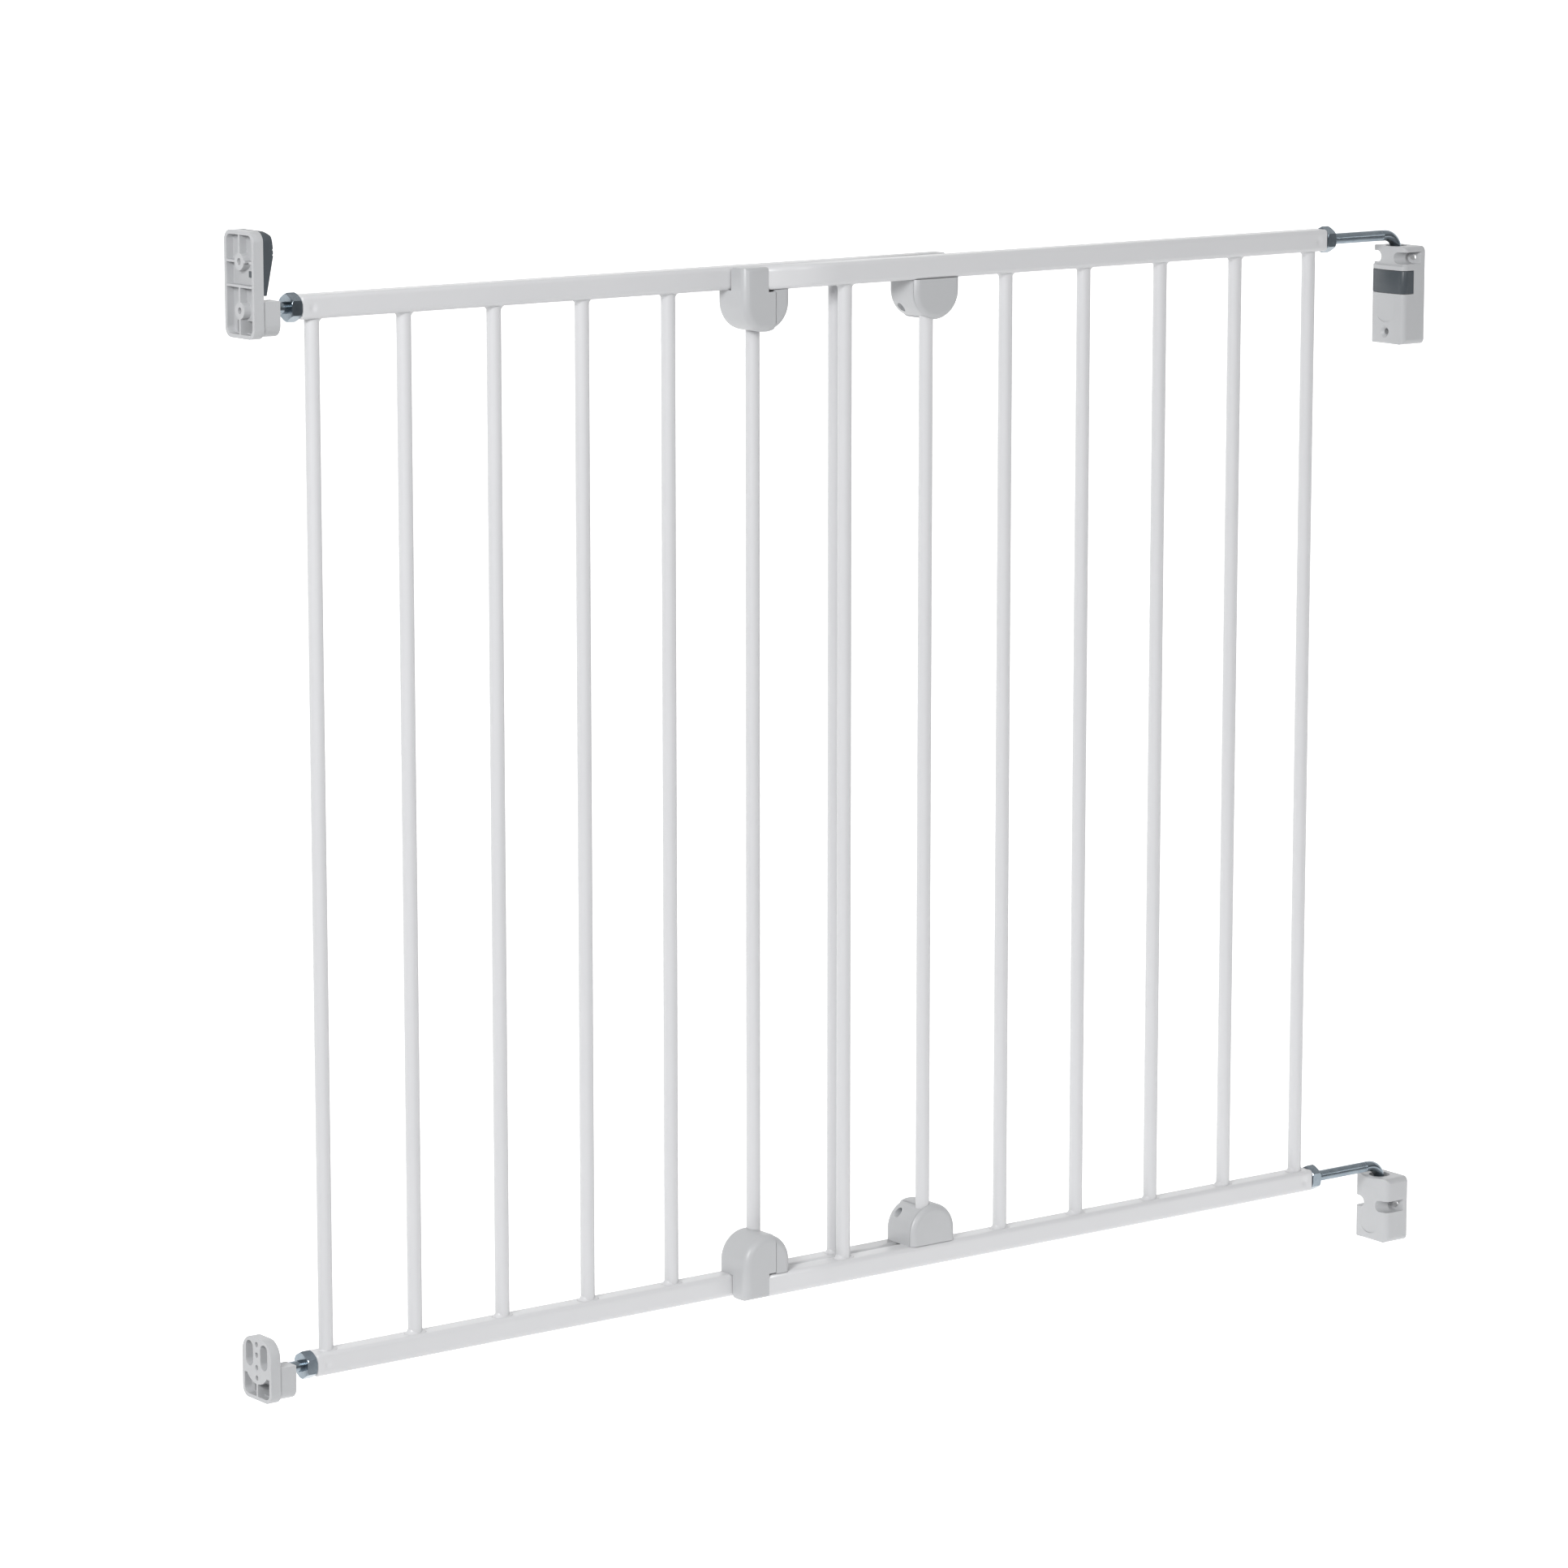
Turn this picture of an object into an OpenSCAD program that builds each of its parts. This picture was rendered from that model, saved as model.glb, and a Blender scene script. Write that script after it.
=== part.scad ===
// Extending wall-fixed safety gate: two overlapping barred frames on two cranked hinge pins,
// with two latch bolts that drop into cups on the opposite wall.
//
// Frame: X = 0 is the hinge wall and the gate runs towards -X, Y = 0 is the hinge pins' plane and
// the gate opens towards +Y, Z = 0 is the middle of the lower hinge bracket, +Z is up.

/* [Frames] */
// Height of each barred frame, from under the bottom rail to the top of the top rail
frame_h = 730; // [500:10:900]
// Distance from one bar's centre to the next
bar_pitch = 72; // [56:1:74]
// Outer diameter of a bar
bar_d = 10; // [8:0.5:12]
// Wall of a bar's tube
bar_wall = 1; // [0.8:0.1:1.5]
// Side of the square rail tube
rail_size = 16; // [14:0.5:20]
// Wall of the rail tube
rail_wall = 1.5; // [1:0.1:2]
// Outer corner radius of the rail tube
rail_corner_r = 3; // [2:0.5:4]
// Rail left beyond the outermost bar's centre
rail_overhang = 12; // [10:1:30]
// Gap between the front and the rear frame
frame_gap = 1; // [0.5:0.1:3]
// Number of bar pitches by which the two frames are pulled apart
extension_steps = 6; // [2:1:6]
// Sideways offset between a front bar and the rear bar nearest to it
bar_stagger = 4.5; // [3:0.5:6]

/* [Hinge side] */
// Diameter of the cranked hinge rods and of the latch bolts
rod_d = 8; // [6:0.5:9]
// Centre-line radius of the rod's bend
bend_r = 12; // [10:0.5:16]
// Distance from the last bar's centre to the hinge pin's axis
hinge_reach = 88; // [60:1:110]
// Height of the upper hinge bracket
upper_hinge_h = 73; // [70:1:90]
// Height of the lower hinge bracket
lower_hinge_h = 50; // [46:1:70]
// Width of every wall bracket, along the wall
bracket_w = 36; // [34:1:44]
// How far the hinge brackets stand out from the wall
hinge_depth = 23; // [22:0.5:30]
// Distance from the hinge wall to the hinge pin's axis
pin_offset = 12.5; // [12:0.5:14]
// Bulge of the hinge bracket's face across its width
face_bulge = 1.5; // [0.5:0.1:2.5]
// Height to which the gate is lifted before it can swing
lift_travel = 8; // [6:0.5:9]

/* [Latch side] */
// Distance from the latch wall to the end of the rails
latch_gap = 43; // [40:1:50]
// Thickness of the latch brackets' wall plates
plate_t = 7.5; // [6:0.5:9]
// How far the latch cups reach towards the gate from the wall
cup_reach = 20.5; // [16:0.5:24]
// Height of the upper latch plate above the bolt's axis
upper_plate_top = 52; // [48:1:60]
// Height of the lower latch plate above the bolt's axis
lower_plate_top = 25; // [22:1:30]
// Depth of the latch plates below the bolt's axis
plate_drop = 18; // [16:1:22]
// Height of the cup's front wall above the bolt's axis
cup_front_h = 6.5; // [4:0.5:7]
// Height of the cup's rear wall above the bolt's axis
cup_rear_h = 3.5; // [1:0.5:3.5]

/* [Frame clips] */
// Width of a clip
clip_w = 41; // [36:1:48]
// Height of a clip beyond the rail
clip_drop = 29; // [26:1:34]
// Distance from the clip's middle to the seam between its body and its cover
clip_seam = 6; // [5.5:0.5:8]

/* [Fasteners] */
// Distance across the flats of the lock nuts
nut_af = 17; // [13:1:19]
// Thickness of the lock nuts
nut_t = 8; // [6:0.5:9]
// Diameter of the brackets' wall screw holes
screw_hole_d = 4.4; // [4:0.1:5]

/* [Hidden] */
BAR_COUNT = 7;
$fn = 64;

POWDER_WHITE = "white";
LIGHT_PLASTIC = "silver";
DARK_PLASTIC = "dimgray";
ZINC = "lightslategray";
NYLON = "ivory";

// Fits and clearances
running_gap = 0.05;      // shafts that turn or slide in a bore, on the radius
seat_gap = 0.1;          // parts that push together, on each side
loose_gap = 0.3;         // parts that must never touch
cut = 1;                 // how far a cutting solid runs past the face it opens

// Heights
rail_under_z = lower_hinge_h / 2;
bottom_rail_z = rail_under_z + rail_size / 2;
top_rail_z = rail_under_z + frame_h - rail_size / 2;
mid_z = rail_under_z + frame_h / 2;
bar_len = frame_h - 2 * rail_size;

// Depths
front_y = 0;
rear_y = rail_size + frame_gap;

// Places along the gate
pin_x = -pin_offset;
front_last_x = pin_x - hinge_reach;
front_first_x = front_last_x - (BAR_COUNT - 1) * bar_pitch;
rear_first_x = front_first_x - extension_steps * bar_pitch + bar_stagger;
rear_last_x = rear_first_x + (BAR_COUNT - 1) * bar_pitch;
front_outer_x = front_last_x + rail_overhang;
front_inner_x = front_first_x - bar_pitch;
rear_outer_x = rear_first_x - rail_overhang;
rear_inner_x = rear_last_x + bar_pitch;
latch_wall_x = rear_outer_x - latch_gap;
rail_len = front_outer_x - front_inner_x;

// Rods, bolts and their fasteners
rod_r = rod_d / 2;
shaft_bore_r = rod_r + running_gap;
rod_in_rail = 32;
rod_chamfer = 1;
insert_len = 20;
insert_side = rail_size - 2 * rail_wall - 2 * seat_gap;
insert_corner_r = max(rail_corner_r - rail_wall, 0.5);

// Hinge pins, measured down from the top of their bracket
pin_clear_h = rod_r;                           // daylight between bracket and horizontal rod
upper_bracket_top = top_rail_z - rod_r - pin_clear_h;
lower_bracket_top = bottom_rail_z - rod_r - pin_clear_h;
pin_len = 46;
mouth_r = 2 * rod_r;                           // counterbore that the bend sinks into
mouth_depth = 8;
bush_wall = 2.5;
bush_r = shaft_bore_r + bush_wall;
bush_flange_r = mouth_r - 2 * loose_gap;
bush_flange_t = 2;
bush_len = 9;
guide_r = rod_r + loose_gap;

// Lift retainer: a U band in a groove round the upper bracket, with two tines round the pin's neck
band_top = 18;
band_h = 17;
band_t = 2.5;
band_arm = 12;
band_x = face_bulge / 2;                       // where the band's flat inner side starts, behind the face
tine_top = band_top + 2;
tine_h = 4;
neck_r = rod_r - 1;
tine_slot_r = neck_r + loose_gap;
tine_w = 3;
neck_top = tine_top - 0.5;
neck_len = tine_h + lift_travel + 1;
retainer_travel = rod_r + tine_slot_r + 1.5;

// Screw pockets and holes in the hinge brackets
screw_r = screw_hole_d / 2;
pocket_r = 4.4;
pocket_angle = 25;
pocket_floor = 6.4;
pocket_mouth_x = 4 - hinge_depth;
scoop_reach = 12;                              // how far in from the side a channel starts on the face
scoop_angle = 22;
upper_pocket_drop = 8.5;
lower_pocket_drop = 22;
face_screw_drop = 64;
countersink_r = 4.4;
bracket_corner_r = 4.5;
bracket_end_r = 4;
bracket_edge_r = 2.2;
tongue_r = 11;
tongue_depth = 0.6;
face_step_t = 1.2;
face_step_h = band_top - 3.5;
core_wall = 2.6;
core_half_w = 9.5;
core_corner_r = 1.5;

// Latch brackets
cup_slot_r = rod_r + 0.5;
bolt_tip_gap = 2;
bolt_tip_x = plate_t + bolt_tip_gap;
plate_rim = 2.6;
plate_skin = 2;
rib_t = 1.6;
boss_r = 5.6;
screw_spacing = 32;
latch_hole_spacing = 16;
column_hole_r = 1.8;
column_first_z = -2.7;
column_shift = 7.2;
side_pocket_z = 13;
side_pocket_span = 8.5;
web_rim = 1;
plate_corner_r = 7;
lower_top_r = 12;
cup_bottom_r = 8;
cup_inset = 1;
cup_skin = 2.4;

// Catch slider on the upper latch plate
catch_tip_z = 10.5;
catch_ridge_z = 36;
catch_tip_t = 2.2;
catch_top_t = 7.5;
catch_crown_t = 6.5;
catch_crown_h = 3;
catch_stem_y = 8.5 - bracket_w / 2;
catch_stem_w = 4;
catch_stem_h = 4;
catch_stem_z = 24;
catch_head_w = 7;
catch_head_t = 1.5;
catch_ridge_h = 2;
catch_ridge_cut = 0.7;
catch_access_r = 4.8;

// Frame clips
clip_r = clip_w / 2;
clip_straight = clip_drop - clip_r;
clip_depth = rear_y + rail_size;
clip_front_r = 5.5;
clip_back_r = 5;
clip_back_t = 2.7;
clip_seam_gap = 0.7;
cover_inset = 0.6;
clip_bar_r = bar_d / 2 + seat_gap;
clip_plug_len = 12;
clip_notch = 1.2;
clip_screw_drop = 0.72 * clip_drop;            // low enough to meet the cover's round edge
clip_screw_y = -0.9 * rail_size;               // behind the clip's middle, clear of the bar
clip_screw_head_r = 3;
clip_screw_shank_r = 1.6;
clip_screw_head_t = 2.2;
clip_screw_len = 18;

// ---- Shapes that repeat ----

// Rectangle w by h round the origin, with corners of radius r
module rounded_rect(w, h, r) {
    square([w - 2 * r, h], center = true);
    square([w, h - 2 * r], center = true);
    for (sx = [-1, 1], sy = [-1, 1])
        translate([sx * (w / 2 - r), sy * (h / 2 - r)])
            circle(r);
}

// Stadium of radius r whose end centres are span apart, upright
module upright_slot(span, r) {
    square([2 * r, span], center = true);
    for (s = [-1, 1])
        translate([0, s * span / 2])
            circle(r);
}

// Lays an outline drawn in (Y, Z) out along +X for length t
module along_x(t) {
    rotate([90, 0, 90])
        linear_extrude(t)
            children();
}

// Lays an outline drawn in (X, Z) out along +Y for length t
module along_y(t) {
    translate([0, t, 0])
        rotate([90, 0, 0])
            linear_extrude(t)
                children();
}

// Round bar along +X from the origin
module rod_x(len, r) {
    rotate([0, 90, 0])
        cylinder(h = len, r = r);
}

// Round bar whose far end is chamfered, along -Z from the origin
module tipped_pin(len, r, chamfer) {
    translate([0, 0, chamfer - len])
        cylinder(h = len - chamfer, r = r);
    translate([0, 0, -len])
        cylinder(h = chamfer, r1 = r - chamfer, r2 = r);
}

// ---- Barred frames ----

module rail(x0, y, z) {
    color(POWDER_WHITE)
        translate([x0, y, z])
            along_x(rail_len)
                difference() {
                    rounded_rect(rail_size, rail_size, rail_corner_r);
                    rounded_rect(rail_size - 2 * rail_wall, rail_size - 2 * rail_wall, insert_corner_r);
                }
}

module bar(x, y) {
    color(POWDER_WHITE)
        translate([x, y, rail_under_z + rail_size])
            linear_extrude(bar_len)
                difference() {
                    circle(d = bar_d);
                    circle(d = bar_d - 2 * bar_wall);
                }
}

module front_bar(i) bar(front_first_x + (i - 1) * bar_pitch, front_y);
module rear_bar(i) bar(rear_first_x + (i - 1) * bar_pitch, rear_y);

// Threaded plug in a rail's outer end, with its face flush with the rail's end; side is +1 or -1
module rail_insert(end_x, y, z, side) {
    color(LIGHT_PLASTIC)
        translate([side > 0 ? end_x - insert_len : end_x, y, z])
            difference() {
                along_x(insert_len)
                    rounded_rect(insert_side, insert_side, insert_corner_r);
                translate([-cut, 0, 0])
                    rod_x(insert_len + 2 * cut, shaft_bore_r);
            }
}

// Lock nut against a rail's outer end; side is +1 or -1
module lock_nut(end_x, y, z, side) {
    nut_r = nut_af / 2 / cos(30);
    color(ZINC)
        translate([side > 0 ? end_x : end_x - nut_t, y, z])
            difference() {
                rotate([0, 90, 0])
                    intersection() {
                        cylinder(h = nut_t, r = nut_r, $fn = 6);
                        cylinder(h = nut_t, r1 = nut_af / 2 + 0.3, r2 = nut_af / 2 + nut_t, $fn = 64);
                        cylinder(h = nut_t, r1 = nut_af / 2 + nut_t, r2 = nut_af / 2 + 0.3, $fn = 64);
                    }
                translate([-cut, 0, 0])
                    rod_x(nut_t + 2 * cut, shaft_bore_r);
            }
}

// ---- Hinge side ----

// Cranked rod: horizontal into the rail's end, bent down into the bracket
module hinge_rod(rail_z, has_neck) {
    rod_x0 = front_outer_x - rod_in_rail;
    bend_x = pin_x - bend_r;
    bracket_top = rail_z - rod_r - pin_clear_h;
    straight = bracket_top - pin_len - (rail_z - bend_r);
    color(ZINC) {
        translate([rod_x0, front_y, rail_z])
            rod_x(bend_x - rod_x0, rod_r);
        translate([bend_x, front_y, rail_z - bend_r])
            rotate([90, 0, 0])
                rotate_extrude(angle = 90)
                    translate([bend_r, 0])
                        circle(rod_r);
        difference() {
            translate([pin_x, front_y, rail_z - bend_r])
                tipped_pin(-straight, rod_r, rod_chamfer);
            if (has_neck)
                translate([pin_x, front_y, bracket_top - neck_top - neck_len])
                    difference() {
                        cylinder(h = neck_len, r = rod_r + cut);
                        cylinder(h = neck_len, r = neck_r);
                    }
        }
    }
}

// Flanged bush that turns with the pin in the bracket's mouth
module hinge_bush(bracket_top) {
    color(NYLON)
        translate([pin_x, front_y, bracket_top - mouth_depth])
            difference() {
                union() {
                    cylinder(h = bush_flange_t, r = bush_flange_r);
                    translate([0, 0, -bush_len])
                        cylinder(h = bush_len, r = bush_r);
                }
                translate([0, 0, -bush_len - cut])
                    cylinder(h = bush_len + bush_flange_t + 2 * cut, r = shaft_bore_r);
            }
}

// Outline of a hinge bracket from above: flat at the wall, slightly bulged towards the gate
module hinge_outline() {
    flat_w = bracket_w / 2 - bracket_corner_r;
    flat_depth = hinge_depth - face_bulge;
    bulge_r = (pow(flat_w, 2) + pow(face_bulge, 2)) / (2 * face_bulge);
    translate([-flat_depth / 2, 0])
        rounded_rect(flat_depth, bracket_w, bracket_corner_r);
    translate([-bracket_corner_r, -bracket_w / 2])
        square([bracket_corner_r, bracket_w]);
    intersection() {
        translate([bulge_r - hinge_depth, 0])
            circle(bulge_r, $fn = 360);
        translate([-hinge_depth, -flat_w])
            square([bracket_corner_r, 2 * flat_w]);
    }
}

// Solid block of a hinge bracket of height h under the origin, its ends rounded across and along
module hinge_block(h) {
    side_w = hinge_depth + 2 * bracket_edge_r;
    intersection() {
        translate([side_w / 2 - hinge_depth, -bracket_w, -h / 2])
            along_y(2 * bracket_w)
                rounded_rect(side_w, h, bracket_edge_r);
        translate([0, 0, -h])
            linear_extrude(h)
                hinge_outline();
        translate([-hinge_depth - cut, 0, -h / 2])
            along_x(hinge_depth + 2 * cut)
                rounded_rect(bracket_w, h, bracket_end_r);
    }
}

// Slanting channel and screw hole on one side of a hinge bracket; side is +1 for +Y
module side_screw(drop, side) {
    channel_len = (-pocket_mouth_x - pocket_floor) / cos(pocket_angle);
    translate([pocket_mouth_x, side * bracket_w / 2, -drop])
        rotate([0, 0, -side * pocket_angle]) {
            translate([-hinge_depth, 0, 0])
                rod_x(hinge_depth + channel_len, pocket_r);
            translate([0, side > 0 ? 0 : -hinge_depth, -pocket_r])
                cube([channel_len, hinge_depth, 2 * pocket_r]);
            rod_x(2 * hinge_depth, screw_r);
        }
}

// Scoop that opens a screw channel across the face's corner
module side_scoop(drop, side) {
    scoop_len = (hinge_depth - pocket_floor - pocket_r / 2) / cos(scoop_angle);
    start_y = bracket_w / 2 - scoop_reach + pocket_r / cos(scoop_angle);
    translate([-hinge_depth, side * start_y, -drop])
        rotate([0, 0, side * scoop_angle])
            translate([-hinge_depth, 0, 0]) {
                rod_x(hinge_depth + scoop_len, pocket_r);
                translate([0, side > 0 ? 0 : -hinge_depth, -pocket_r])
                    cube([hinge_depth + scoop_len, hinge_depth, 2 * pocket_r]);
            }
}

// Tongue-shaped thumb relief on the face, hanging down from drop0 to drop1
module face_tongue(drop0, drop1) {
    translate([-hinge_depth - cut, 0, 0])
        along_x(cut + tongue_depth) {
            translate([0, tongue_r - drop1])
                circle(tongue_r);
            translate([-tongue_r, tongue_r - drop1])
                square([2 * tongue_r, drop1 - drop0 - tongue_r]);
        }
}

// Core pocket opening at the wall face, on the side given
module core_pocket(drop0, drop1, side) {
    w = bracket_w / 2 - core_wall - core_half_w;
    translate([-hinge_depth + 2 * core_wall, side * (core_half_w + w / 2), -(drop0 + drop1) / 2])
        along_x(hinge_depth)
            rounded_rect(w, drop1 - drop0, core_corner_r);
}

// Bores for bush and pin
module hinge_bores() {
    translate([pin_x, front_y, -mouth_depth])
        cylinder(h = mouth_depth + cut, r = mouth_r);
    translate([pin_x, front_y, -mouth_depth - bush_len - loose_gap])
        cylinder(h = bush_len + loose_gap + cut, r = bush_r + running_gap);
    translate([pin_x, front_y, -pin_len - seat_gap])
        cylinder(h = pin_len, r = guide_r);
}

// Sets the face above the U band back a little from the face below it
module face_step() {
    translate([0, 0, -face_step_h])
        linear_extrude(face_step_h + cut)
            difference() {
                translate([-hinge_depth - cut, -bracket_w])
                    square([hinge_depth / 2, 2 * bracket_w]);
                translate([face_step_t, 0])
                    hinge_outline();
            }
}

module upper_hinge_bracket() {
    face_hole_sink = countersink_r - screw_r;
    color(LIGHT_PLASTIC)
        translate([0, 0, upper_bracket_top])
            difference() {
                hinge_block(upper_hinge_h);
                face_step();
                hinge_bores();
                for (side = [-1, 1]) {
                    side_screw(upper_pocket_drop, side);
                    side_scoop(upper_pocket_drop, side);
                    core_pocket(band_top + band_h + core_wall, upper_hinge_h - core_wall, side);
                }
                translate([0, 0, -band_top])
                    retainer_groove();
                face_tongue(band_top + band_h - cut, band_top + band_h + 2 * tongue_r);
                translate([-hinge_depth - cut, 0, -face_screw_drop])
                    rod_x(hinge_depth + 2 * cut, screw_r);
                translate([-hinge_depth - cut, 0, -face_screw_drop])
                    rotate([0, 90, 0])
                        cylinder(h = face_hole_sink + cut, r1 = countersink_r + cut, r2 = screw_r);
            }
}

module lower_hinge_bracket() {
    color(LIGHT_PLASTIC)
        translate([0, 0, lower_bracket_top])
            difference() {
                hinge_block(lower_hinge_h);
                hinge_bores();
                for (side = [-1, 1]) {
                    side_screw(lower_pocket_drop, side);
                    side_scoop(lower_pocket_drop, side);
                    core_pocket(lower_pocket_drop + pocket_r + core_wall, lower_hinge_h - core_wall, side);
                }
                face_tongue(mouth_depth, lower_hinge_h - 2 * core_wall);
            }
}

// Outline of the bracket face shrunk by inset, kept to the part that the U band covers
module band_outline(inset) {
    difference() {
        intersection() {
            hinge_outline();
            translate([-hinge_depth - cut, -bracket_w])
                square([band_arm + cut, 2 * bracket_w]);
        }
        translate([-hinge_depth + inset + band_x, -bracket_w / 2 + inset])
            square([hinge_depth, bracket_w - 2 * inset]);
    }
}

// Two tines that pass either side of the pin's neck
module tines(grow) {
    for (side = [-1, 1])
        translate([-hinge_depth, side * (tine_slot_r + tine_w / 2) - tine_w / 2 - grow, -grow])
            cube([hinge_depth + pin_x + rod_r + grow, tine_w + 2 * grow, tine_h + 2 * grow]);
}

module lift_retainer() {
    color(DARK_PLASTIC)
        translate([0, 0, upper_bracket_top - band_top]) {
            translate([0, 0, -band_h])
                linear_extrude(band_h)
                    band_outline(band_t);
            intersection() {
                translate([0, 0, band_top - tine_top - tine_h])
                    tines(0);
                translate([-hinge_depth + band_x + seat_gap, -bracket_w / 2, -band_h])
                    cube([hinge_depth, bracket_w, band_h]);
            }
        }
}

// Room in the bracket for the band and its tines, all round by loose_gap
module retainer_groove() {
    arm_end_x = -hinge_depth + band_arm + loose_gap;
    inner_x = -hinge_depth + band_x + band_t + loose_gap;
    inner_y = bracket_w / 2 - band_t - loose_gap;
    translate([0, 0, -band_h - loose_gap])
        difference() {
            translate([-hinge_depth - cut, -bracket_w, 0])
                cube([arm_end_x + hinge_depth + cut, 2 * bracket_w, band_h + 2 * loose_gap]);
            translate([inner_x, -inner_y, -cut])
                cube([hinge_depth, 2 * inner_y, band_h + 4 * cut]);
        }
    translate([0, 0, band_top - tine_top - tine_h])
        tines(loose_gap);
}

// ---- Latch side ----

// Threaded bolt in a rail's outer end, its plain tip in the cup
module latch_bolt(rail_z) {
    tip_x = latch_wall_x + bolt_tip_x;
    color(ZINC)
        translate([tip_x, rear_y, rail_z]) {
            rotate([0, 90, 0])
                cylinder(h = rod_chamfer, r1 = rod_r - rod_chamfer, r2 = rod_r);
            translate([rod_chamfer, 0, 0])
                rod_x(rear_outer_x + rod_in_rail - tip_x - rod_chamfer, rod_r);
        }
}

// Outline in (Y, Z) of a latch bracket's wall plate, round the bolt's axis
module plate_outline(top, inset, low_r, top_r) {
    half_w = bracket_w / 2 - inset;
    z0 = inset - plate_drop;
    z1 = top - inset;
    translate([-half_w, z0 + low_r])
        square([2 * half_w, z1 - top_r - z0 - low_r]);
    translate([low_r - half_w, z0])
        square([2 * (half_w - low_r), low_r]);
    translate([top_r - half_w, z1 - top_r])
        square([2 * (half_w - top_r), top_r]);
    for (s = [-1, 1]) {
        translate([s * (half_w - low_r), z0 + low_r])
            circle(low_r);
        translate([s * (half_w - top_r), z1 - top_r])
            circle(top_r);
    }
}

// Outline in (Y, Z) of the cup: rounded underneath, high in front and low behind
module cup_outline() {
    half_w = bracket_w / 2 - cup_inset;
    floor_z = -plate_drop + cup_inset;
    difference() {
        union() {
            translate([-half_w, floor_z + cup_bottom_r])
                square([half_w, cup_front_h - floor_z - cup_bottom_r]);
            translate([0, floor_z + cup_bottom_r])
                square([half_w, cup_rear_h - floor_z - cup_bottom_r]);
            translate([-half_w + cup_bottom_r, floor_z])
                square([2 * (half_w - cup_bottom_r), cup_bottom_r]);
            for (s = [-1, 1])
                translate([s * (half_w - cup_bottom_r), floor_z + cup_bottom_r])
                    circle(cup_bottom_r);
        }
        circle(cup_slot_r);
        translate([-cup_slot_r, 0])
            square([2 * cup_slot_r, cup_front_h + cut]);
    }
}

// Plate, cup and the hollow behind them, before screw holes and ribs; the hollow stays below the
// height given and outside the round web, if there is one
module latch_shell(top, top_r, hollow_top, round_web_r) {
    difference() {
        union() {
            along_x(plate_t)
                plate_outline(top, 0, plate_corner_r, top_r);
            translate([plate_t, 0, 0])
                along_x(cup_reach - plate_t)
                    cup_outline();
        }
        translate([-cut, 0, 0])
            along_x(plate_t - plate_skin + cut)
                difference() {
                    intersection() {
                        plate_outline(top, plate_rim, plate_corner_r - plate_rim, top_r - plate_rim);
                        translate([-bracket_w, -plate_drop])
                            square([2 * bracket_w, plate_drop + hollow_top]);
                    }
                    if (round_web_r > 0)
                        translate([0, round_web_r - cup_slot_r - cup_skin])
                            circle(round_web_r);
                }
        for (side = [-1, 1])
            cup_core(side);
    }
}

// Hollow inside the cup's body under the slot, open at the wall
module cup_core(side) {
    core_top = -cup_slot_r - cup_skin;
    core_bottom = -plate_drop + cup_inset + cup_skin;
    w = bracket_w / 2 - cup_inset - cup_skin - cup_bottom_r / 2;
    translate([-cut, side > 0 ? rib_t / 2 : -rib_t / 2 - w, core_bottom])
        cube([cup_reach - cup_skin + cut, w, core_top - core_bottom]);
}

module upper_latch_bracket() {
    hollow_d = plate_t - plate_skin;
    color(LIGHT_PLASTIC)
        translate([latch_wall_x, rear_y, top_rail_z])
            difference() {
                union() {
                    latch_shell(upper_plate_top, plate_corner_r, upper_plate_top, 0);
                    for (z = [0, screw_spacing])
                        translate([0, 0, z])
                            rod_x(plate_t, boss_r);
                    for (z = [screw_spacing / 2, screw_spacing])
                        translate([0, 1 - bracket_w / 2, z - rib_t / 2])
                            cube([hollow_d, bracket_w - 2, rib_t]);
                    translate([0, -rib_t / 2, screw_spacing])
                        cube([hollow_d, rib_t, upper_plate_top - screw_spacing - 1]);
                    translate([0, -rib_t / 2, 1 - plate_drop])
                        cube([hollow_d, rib_t, plate_drop + screw_spacing / 2 - 1]);
                }
                for (z = [0, screw_spacing])
                    translate([-cut, 0, z])
                        rod_x(plate_t + 2 * cut, screw_r);
                catch_slot();
            }
}

// Slot in the upper plate for the catch's stem over its whole travel
module catch_slot() {
    slot_h = catch_stem_h + lift_travel + 2 * loose_gap;
    head_room = catch_head_t + 2 * loose_gap;
    slot_z = catch_stem_z - catch_stem_h / 2 - loose_gap;
    translate([-cut, catch_stem_y - catch_stem_w / 2 - loose_gap, slot_z])
        cube([plate_t + 2 * cut, catch_stem_w + 2 * loose_gap, slot_h]);
    translate([plate_t - plate_skin - head_room, catch_stem_y - catch_head_w / 2 - loose_gap, slot_z])
        cube([head_room, catch_head_w + 2 * loose_gap, slot_h]);
}

module lower_latch_bracket() {
    color(LIGHT_PLASTIC)
        translate([latch_wall_x, rear_y, bottom_rail_z])
            difference() {
                union() {
                    latch_shell(lower_plate_top, lower_top_r, -web_rim, bracket_w / 2 - plate_rim);
                    translate([0, -rib_t / 2, 1 - plate_drop])
                        cube([plate_t - plate_skin, rib_t, plate_drop]);
                }
                for (side = [-1, 1])
                    translate([-cut, side * bracket_w / 4, side_pocket_z])
                        along_x(plate_t - plate_skin + cut)
                            upright_slot(side_pocket_span, bracket_w / 8);
                for (z = lower_latch_holes())
                    translate([-cut, 0, z])
                        rod_x(plate_t + 2 * cut, column_hole_r);
            }
}

// Heights of the lower latch plate's four holes: two pairs, one set half-way between the other
function lower_latch_holes() =
    [for (first = [column_first_z, column_first_z + column_shift], k = [0, 1])
        first + k * latch_hole_spacing];

// Two finger grooves, as points of the catch's side view
function catch_grooves() =
    [for (k = [0, 1]) let (z = catch_ridge_z + k * (catch_ridge_h + 2 * catch_ridge_cut))
        each [[catch_top_t, z], [catch_top_t - catch_ridge_cut, z + catch_ridge_cut],
              [catch_top_t, z + 2 * catch_ridge_cut]]];

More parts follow.
